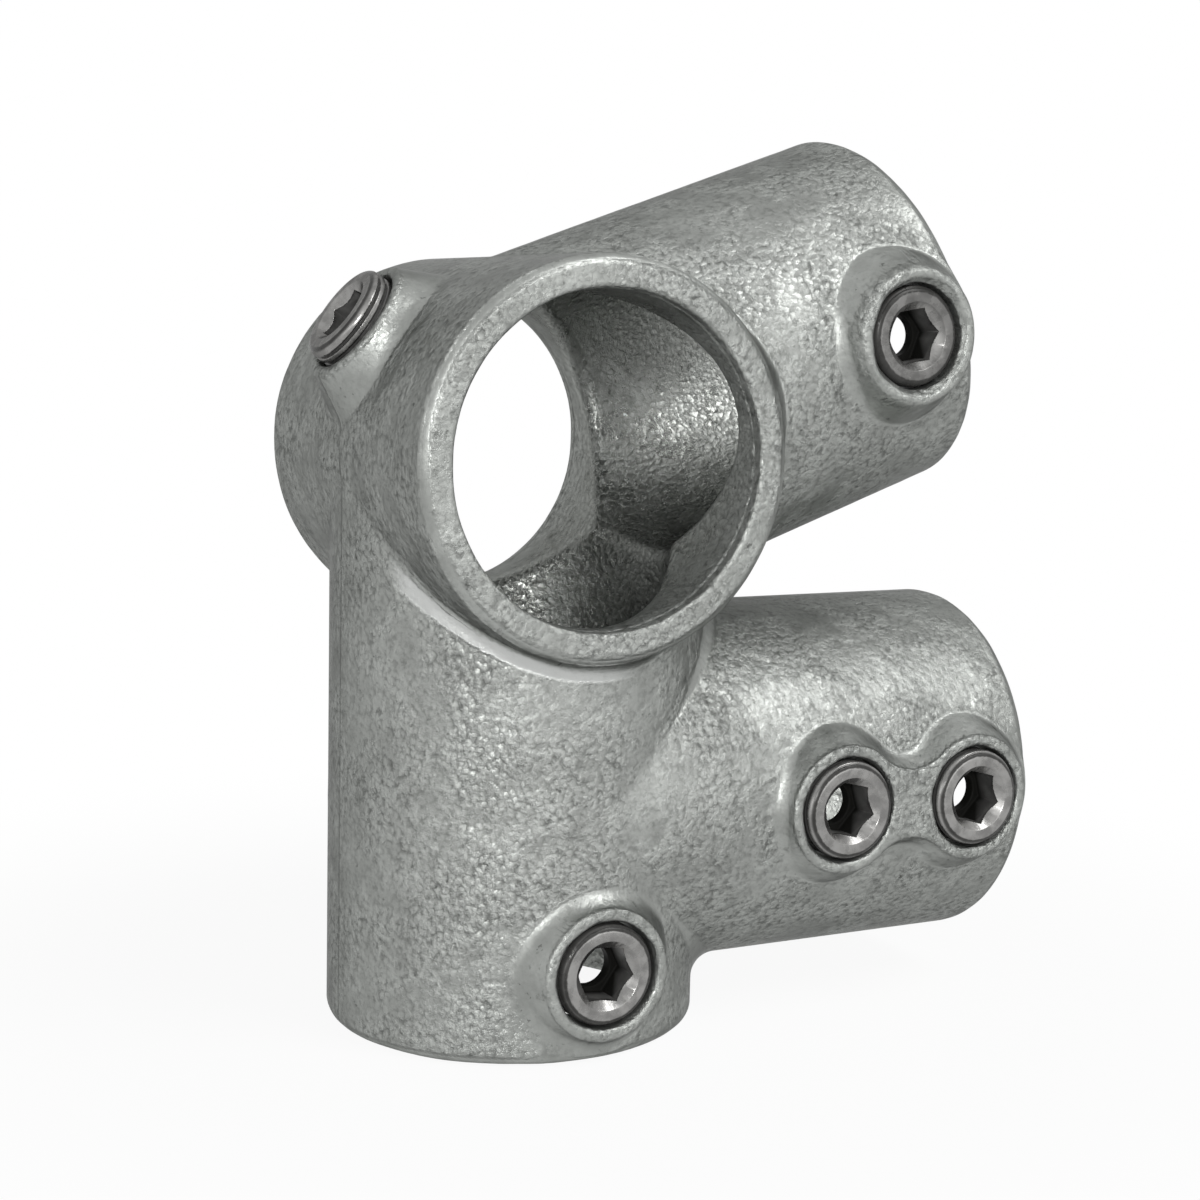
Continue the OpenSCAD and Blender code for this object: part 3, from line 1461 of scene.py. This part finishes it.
@dataclass(frozen=True)
class GalvanisedIron:
    """Rough sand casting under hot-dip zinc.

    Each pair of numbers is where a change starts and where it ends.

    Attributes:
        zinc: Usual colour.
        pale_zinc: Colour of the paler clouds.
        dark_zinc: Colour of pits and flecks.
        soot_and_shade: Colour of specks and the parting line, and of the painted shade deep in the
            bores.
        inner_shade_zinc: Darker colour mixed in inside the bores, painted shade.
        painted_highlight_zinc: Pale colour of the smooth band round the sleeve, a painted
            highlight.
        lump: Size of the lumps in the skin.
        cell: Size of the pebbles among them.
        cell_shift: How far the lumps push the pebbles about.
        cloud: Size of the pale clouds.
        patch: Size of the rougher and dirtier patches.
        fleck: Size of the flecks.
        speck: Size of the specks.
        relief: Depth of the skin's pebbles.
        relief_patch: Where the patches raise the pebbles.
        relief_share: How much they raise them.
        spot_height: Height of the scattered pebbles beside that of the lumps.
        smooth_pits: Share of the pits that smooth places keep.
        smooth_relief: Share of the relief that they keep.
        inside_relief: How much the relief is raised inside the bores.
        inside_dirt: Share of the dirt that goes missing there.
        metal: How metallic the skin is.
        inside_metal: How much more so inside the bores.
        inside_gloss: How much smoother it is there.
        inner_shade_share: Share of that darker painted-shade colour inside the bores.
        sheen: Strength of the sheen.
        inside_from: Depth in the bores at which a place counts as inside.
        shade_from: Depth over which the bores turn dark.
        shade: How dark they turn.
        cloud_range: Values of the clouds that count.
        pit_range: Values of the pebbles that count as pits.
        dirt_patch: Where the patches hold dirt.
        dirt_share: How much of it they hold.
        fleck_range: Values that count as flecks.
        speck_range: Values that count as specks.
        spot_share: How dark flecks and specks are.
        gloss: Roughness between the clouds and in them.
        tint: Colour of the sheen at a glancing angle.
        seam_half: Half width of the parting line.
        seam_lumps: Values of the lumps over which it comes and goes.
        seam_share: How strong it is there.
        seam_soot: Share of soot on it.
        seam_height: Height of the line beside that of the pebbles.
        band_highlight_share: Share of that painted highlight colour on the smooth band.
        band_wander: How unevenly the band runs.
        band_inner: Distance from the sleeve's axis over which the band starts.
        band_outer: Distance over which it ends.
        band_way: Direction from the sleeve's axis to the band's middle.
        band_reach: Reach that way over which the band fades in.
        band_front: Distance forward over which it fades in.
    """

    zinc: Vec = (0.27, 0.279, 0.266)
    pale_zinc: Vec = (0.36, 0.372, 0.356)
    dark_zinc: Vec = (0.115, 0.12, 0.113)
    soot_and_shade: Vec = (0.03, 0.032, 0.028)
    inner_shade_zinc: Vec = (0.11, 0.113, 0.10)
    painted_highlight_zinc: Vec = (0.56, 0.57, 0.56)
    lump: float = 1.2 * MM
    cell: float = 0.9 * MM
    cell_shift: float = 1.6 * MM
    cloud: float = 7.0 * MM
    patch: float = 14.0 * MM
    fleck: float = 2.4 * MM
    speck: float = 2.0 * MM
    relief: float = 0.36 * MM
    relief_patch: Pair = (0.38, 0.6)
    relief_share: Pair = (0.45, 1.5)
    spot_height: float = 0.28
    smooth_pits: float = 0.3
    smooth_relief: float = 0.25
    inside_relief: float = 0.9
    inside_dirt: float = 0.5
    metal: float = 0.8
    inside_metal: float = 0.15
    inside_gloss: float = 0.06
    inner_shade_share: float = 0.25
    sheen: float = 0.3
    inside_from: Pair = (0.0, 0.2)
    shade_from: Pair = (0.3, 0.85)
    shade: Pair = (0.0, 0.85)
    cloud_range: Pair = (0.3, 0.7)
    pit_range: Pair = (0.48, 0.78)
    dirt_patch: Pair = (0.36, 0.62)
    dirt_share: Pair = (0.35, 0.8)
    fleck_range: Pair = (0.58, 0.72)
    speck_range: Pair = (0.64, 0.72)
    spot_share: Pair = (0.0, 0.6)
    gloss: Pair = (0.29, 0.39)
    tint: Vec = (0.25, 0.25, 0.25)
    seam_half: Pair = (0.1 * MM, 0.5 * MM)
    seam_lumps: Pair = (0.3, 0.6)
    seam_share: Pair = (0.3, 1.0)
    seam_soot: float = 0.35
    seam_height: float = 0.3
    band_highlight_share: float = 0.7
    band_wander: float = 0.8 * MM
    band_inner: Pair = (31.0 * MM, 31.4 * MM)
    band_outer: Pair = (32.9 * MM, 33.5 * MM)
    band_way: Vec = (-0.545, 0.0, -0.839)
    band_reach: Pair = (22.0 * MM, 28.0 * MM)
    band_front: Pair = (12.0 * MM, 17.0 * MM)

    def _band(self, recipe: Recipe, place: Value, lumps: Value) -> Value:
        """Marks the smooth band round the sleeve's lower left front, which is smoothed and carries
        a painted highlight.

        Args:
            recipe: The finish's nodes.
            place: Places on the casting.
            lumps: The skin's lumps.

        Returns:
            1 on the band, else 0.
        """
        off_axis = recipe.off_axis(place) + self.band_wander * (lumps - 0.5)
        band = recipe.spread(off_axis, self.band_inner)
        band = band * recipe.spread(off_axis, self.band_outer, FALLING)
        band = band * recipe.spread(recipe.along(place, self.band_way), self.band_reach)
        return band * recipe.spread(recipe.along(place, FRONT), self.band_front)

    def material(self) -> bpy.types.Material:
        """Builds the finish.

        Returns:
            The material.
        """
        made = bpy.data.materials.new("galvanised_iron")
        recipe = Recipe(made)
        place = recipe.place()
        depth = recipe.stored("depth")
        inside = recipe.spread(depth, self.inside_from)
        lumps = recipe.noise(place, self.lump, detail=5.0, roughness=0.7)
        spots = recipe.cells(recipe.shifted(place, lumps, self.cell_shift), self.cell)
        pebbles = lumps + self.spot_height * (1.0 - spots * spots)
        clouds = recipe.noise(place, self.cloud, detail=5.0, roughness=0.65)
        patches = recipe.noise(place, self.patch, detail=3.0, roughness=0.6)
        flecks = recipe.noise(place, self.fleck, detail=4.0, roughness=0.7)
        specks = recipe.noise(place, self.speck, detail=4.0, roughness=0.65)
        band = self._band(recipe, place, lumps)
        rough = 1.0 - recipe.maths("MAXIMUM", recipe.stored("smoothness"), band)

        seam = recipe.spread(recipe.off_plane(place), self.seam_half, FALLING)
        seam = seam * (1.0 - inside) * recipe.spread(lumps, self.seam_lumps, self.seam_share)
        pits = recipe.spread(pebbles, self.pit_range, FALLING)
        pits = pits * (self.smooth_pits + (1.0 - self.smooth_pits) * rough)
        dirt = recipe.spread(patches, self.dirt_patch, self.dirt_share)
        dirt = dirt * (1.0 - self.inside_dirt * inside)
        colour: Feed = self.zinc
        for share, over in (
            (recipe.spread(clouds, self.cloud_range), self.pale_zinc),
            (pits * dirt, self.dark_zinc),
            (recipe.spread(flecks, self.fleck_range, self.spot_share), self.dark_zinc),
            (recipe.spread(specks, self.speck_range, self.spot_share), self.soot_and_shade),
            (seam * self.seam_soot, self.soot_and_shade),
            # Painted highlight: a pale band on the sleeve's lower left front.
            (band * self.band_highlight_share, self.painted_highlight_zinc),
            # Painted shade: the inside of the bores is darkened throughout.
            (inside * self.inner_shade_share, self.inner_shade_zinc),
            # Painted shade: the bores darken towards their depths.
            (recipe.spread(depth, self.shade_from, self.shade), self.soot_and_shade),
        ):
            colour = recipe.blend(share, colour, over)

        raised = recipe.spread(patches, self.relief_patch, self.relief_share)
        raised = raised * (1.0 - inside) + self.inside_relief * inside
        raised = raised * (self.smooth_relief + (1.0 - self.smooth_relief) * rough)
        gloss = recipe.spread(clouds, self.cloud_range, self.gloss)
        values = {
            "Base Color": colour,
            "Metallic": self.metal + self.inside_metal * inside,
            "Roughness": gloss - self.inside_gloss * inside,
            "Specular IOR Level": self.sheen,
            "Specular Tint": self.tint,
            "Normal": recipe.bump(pebbles * raised + self.seam_height * seam, self.relief),
        }
        recipe.surface(recipe.node("ShaderNodeBsdfPrincipled", None, values))
        return made


@dataclass(frozen=True)
class ScrewSteel:
    """Smooth turned steel, darkened with painted shade in the key socket, in the thread and where
    it lies down in its hole.

    Attributes:
        steel: Usual colour.
        dull: Colour of the duller clouds.
        painted_shade_black: Near-black colour of the painted shade.
        cloud: Size of the dull clouds.
        grain: Size of the fine grain.
        relief: Depth of the grain.
        dull_range: Values of the clouds between which the colour changes.
        cloud_range: Values between which the roughness changes.
        gloss: The roughness at those two.
        sunk_gloss: How much rougher the key socket is, under its painted shade.
        metal: How metallic the steel is.
        groove_metal: Share of that which the painted shade in the thread hides.
        groove_share: Share of the painted shade colour in the thread.
        grain_share: Strength of the grain.
        sheen: Strength of the sheen.
        tint: Colour of the sheen at a glancing angle.
    """

    steel: Vec = (0.30, 0.297, 0.289)
    dull: Vec = (0.2, 0.198, 0.193)
    painted_shade_black: Vec = (0.008, 0.008, 0.007)
    cloud: float = 3.0 * MM
    grain: float = 0.6 * MM
    relief: float = 0.03 * MM
    dull_range: Pair = (0.35, 0.65)
    cloud_range: Pair = (0.3, 0.7)
    gloss: Pair = (0.22, 0.32)
    sunk_gloss: float = 0.4
    metal: float = 0.9
    groove_metal: float = 0.8
    groove_share: float = 0.85
    grain_share: float = 0.5
    sheen: float = 0.2
    tint: Vec = (0.4, 0.4, 0.4)

    def material(self) -> bpy.types.Material:
        """Builds the finish.

        Returns:
            The material.
        """
        made = bpy.data.materials.new("set_screw_steel")
        recipe = Recipe(made)
        place = recipe.place()
        groove, sunk = recipe.stored("groove"), recipe.stored("sunk")
        clouds = recipe.noise(place, self.cloud, detail=3.0, roughness=0.6)
        grain = recipe.noise(place, self.grain, detail=3.0, roughness=0.6)
        colour = recipe.blend(recipe.spread(clouds, self.dull_range), self.dull, self.steel)
        # Painted shade in the thread's grooves, down the flank and on a sunk face.
        colour = recipe.blend(groove * self.groove_share, colour, self.painted_shade_black)
        gloss = recipe.spread(clouds, self.cloud_range, self.gloss)
        values = {
            # Painted shade: the key socket goes near-black.
            "Base Color": recipe.blend(sunk, colour, self.painted_shade_black),
            "Metallic": self.metal * (1.0 - sunk) * (1.0 - self.groove_metal * groove),
            "Roughness": gloss + self.sunk_gloss * sunk,
            "Specular IOR Level": self.sheen,
            "Specular Tint": self.tint,
            "Normal": recipe.bump(grain, self.relief, self.grain_share),
        }
        recipe.surface(recipe.node("ShaderNodeBsdfPrincipled", None, values))
        return made


class Part(Enum):
    """Which part of the light a lamp gives."""

    KEY = "key"
    FILL = "fill"
    FRONT = "front"
    LOW = "low"


@dataclass(frozen=True)
class Lamp:
    """A soft square lamp.

    Attributes:
        part: Which part of the light it gives.
        place: Where it stands.
        aim: What it points at.
        side: Side of its square.
        power: Watts.
    """

    part: Part
    place: Vec
    aim: Vec
    side: float
    power: float

    def light(self) -> None:
        """Adds the lamp to the scene."""
        data = bpy.data.lights.new(f"{self.part.value}_lamp", "AREA")
        data.shape = "SQUARE"
        data.size = self.side
        data.energy = self.power
        lamp = bpy.data.objects.new(data.name, data)
        bpy.context.scene.collection.objects.link(lamp)
        lamp.location = self.place
        way = Vector(self.aim) - Vector(self.place)
        lamp.rotation_euler = way.to_track_quat("-Z", "Y").to_euler()


@dataclass(frozen=True)
class Studio:
    """The floor, the light and the camera.

    Attributes:
        floor_at: Height of the floor.
        floor_half: Half the floor's side.
        floor_grey: Colour of the floor's own paint.
        floor_middle: Place on the floor below the object.
        floor_near: Distances from there between which the floor turns white.
        floor_white: How white it is seen at those two distances.
        sky_strength: Strength of the even light.
        camera_at: Where the camera stands.
        camera_right: Direction of its right-hand side.
        camera_up: Direction of its top.
        camera_back: Direction away from what it looks at.
        lens: Focal length in millimetres.
        sensor: Width of the film in millimetres.
        clip: Nearest and farthest that the camera sees.
        lamps: The lamps.
    """

    floor_at: float = -92.5 * MM
    floor_half: float = 6.0
    floor_grey: Vec = (0.8, 0.8, 0.8)
    floor_middle: Vec = (0.02, 0.0, -92.5 * MM)
    floor_near: Pair = (0.07, 0.2)
    floor_white: Pair = (0.92, 1.0)
    sky_strength: float = 0.35
    camera_at: Vec = (-145.566 * MM, -306.381 * MM, 20.339 * MM)
    camera_right: Vec = (0.8865, -0.4621, 0.0235)
    camera_up: Vec = (0.0396, 0.1264, 0.9912)
    camera_back: Vec = (-0.4610, -0.8778, 0.1304)
    lens: float = 63.346
    sensor: float = 36.0
    clip: Pair = (0.01, 50.0)
    lamps: tuple[Lamp, ...] = (
        Lamp(Part.KEY, (0.45, -0.67, 0.86), (0.02, 0.0, -0.02), side=0.5, power=6.2),
        Lamp(Part.FILL, (-1.0, -0.62, 0.0), (0.0, 0.0, -0.02), side=0.6, power=1.5),
        Lamp(Part.FRONT, (-0.6, -1.1, 0.3), (0.02, 0.0, 0.0), side=0.2, power=7.0),
        Lamp(Part.LOW, (0.35, -1.1, 0.0), (0.02, 0.0, -0.04), side=0.6, power=2.0),
    )

    def _seen(self, recipe: Recipe) -> Value:
        """Tells what is seen from what only gives light.

        Args:
            recipe: The nodes to add to.

        Returns:
            1 for the camera, for reflections and for what shows through, else 0.
        """
        path = recipe.tree.nodes.new("ShaderNodeLightPath")
        seen = Value(recipe, path.outputs["Is Camera Ray"])
        seen = seen + Value(recipe, path.outputs["Is Glossy Ray"])
        return seen + Value(recipe, path.outputs["Is Transmission Ray"])

    def floor(self) -> None:
        """Lays the pale floor, which keeps the object's shadow."""
        half, at = self.floor_half, self.floor_at
        corners = [(-half, -half, at), (half, -half, at), (half, half, at), (-half, half, at)]
        mesh = bpy.data.meshes.new("floor")
        mesh.from_pydata(corners, [], [(0, 1, 2, 3)])
        material = bpy.data.materials.new("pale_floor")
        recipe = Recipe(material)
        lit = recipe.node("ShaderNodeBsdfDiffuse", None, {"Color": self.floor_grey})
        white = recipe.node("ShaderNodeEmission", None, {"Color": WHITE, "Strength": 1.0})
        far = recipe.vector("DISTANCE", recipe.place(), self.floor_middle, "Value")
        share = self._seen(recipe) * recipe.spread(far, self.floor_near, self.floor_white)
        recipe.surface(recipe.node("ShaderNodeMixShader", None, {0: share, 1: lit, 2: white}))
        mesh.materials.append(material)
        ground = bpy.data.objects.new("floor", mesh)
        bpy.context.scene.collection.objects.link(ground)

    def sky(self) -> None:
        """Sets the even light all round, white where it is seen."""
        world = bpy.data.worlds.new("studio")
        bpy.context.scene.world = world
        recipe = Recipe(world)
        soft, white = (
            recipe.node("ShaderNodeBackground", None, {"Color": WHITE, "Strength": strength})
            for strength in (self.sky_strength, 1.0)
        )
        values = {0: self._seen(recipe), 1: soft, 2: white}
        recipe.surface(recipe.node("ShaderNodeMixShader", None, values))

    def camera(self) -> None:
        """Sets the camera at the photograph's place."""
        data = bpy.data.cameras.new("camera")
        data.lens = self.lens
        data.sensor_width = self.sensor
        data.sensor_fit = "HORIZONTAL"
        data.clip_start, data.clip_end = self.clip
        camera = bpy.data.objects.new("camera", data)
        bpy.context.scene.collection.objects.link(camera)
        turned = Matrix((self.camera_right, self.camera_up, self.camera_back)).transposed()
        camera.matrix_world = Matrix.Translation(self.camera_at) @ turned.to_4x4()
        bpy.context.scene.camera = camera

    def build(self) -> None:
        """Sets up the floor, the light and the camera."""
        bpy.context.scene.view_settings.view_transform = "Standard"
        self.floor()
        self.sky()
        for lamp in self.lamps:
            lamp.light()
        self.camera()


def main() -> None:
    """Builds the connector and the studio."""
    logging.basicConfig(level=logging.INFO, format="%(message)s")
    casting_step, screw_step = FULL_STEPS
    casting = Casting()
    casting.build(Skinner(casting_step), GalvanisedIron())
    steel = ScrewSteel().material()
    drawn = ScrewShape().skin(Skinner(screw_step))
    tie = casting.tie.boss
    screws = (
        SetScrew("sleeve", casting.sleeve.boss, turn=25.0, proud=2.8 * MM),
        SetScrew("upright", casting.upright.boss, turn=24.0),
        SetScrew("tie_inner", tie, turn=17.0, proud=0.8 * MM, shift=-tie.half_gap),
        SetScrew("tie_outer", tie, turn=15.5, proud=0.8 * MM, shift=tie.half_gap),
        SetScrew("rafter", casting.rafter.boss, turn=20.0, proud=-1.0 * MM),
    )
    for screw in screws:
        screw.build(drawn, steel)
    Studio().build()


if __name__ == "__main__":
    main()
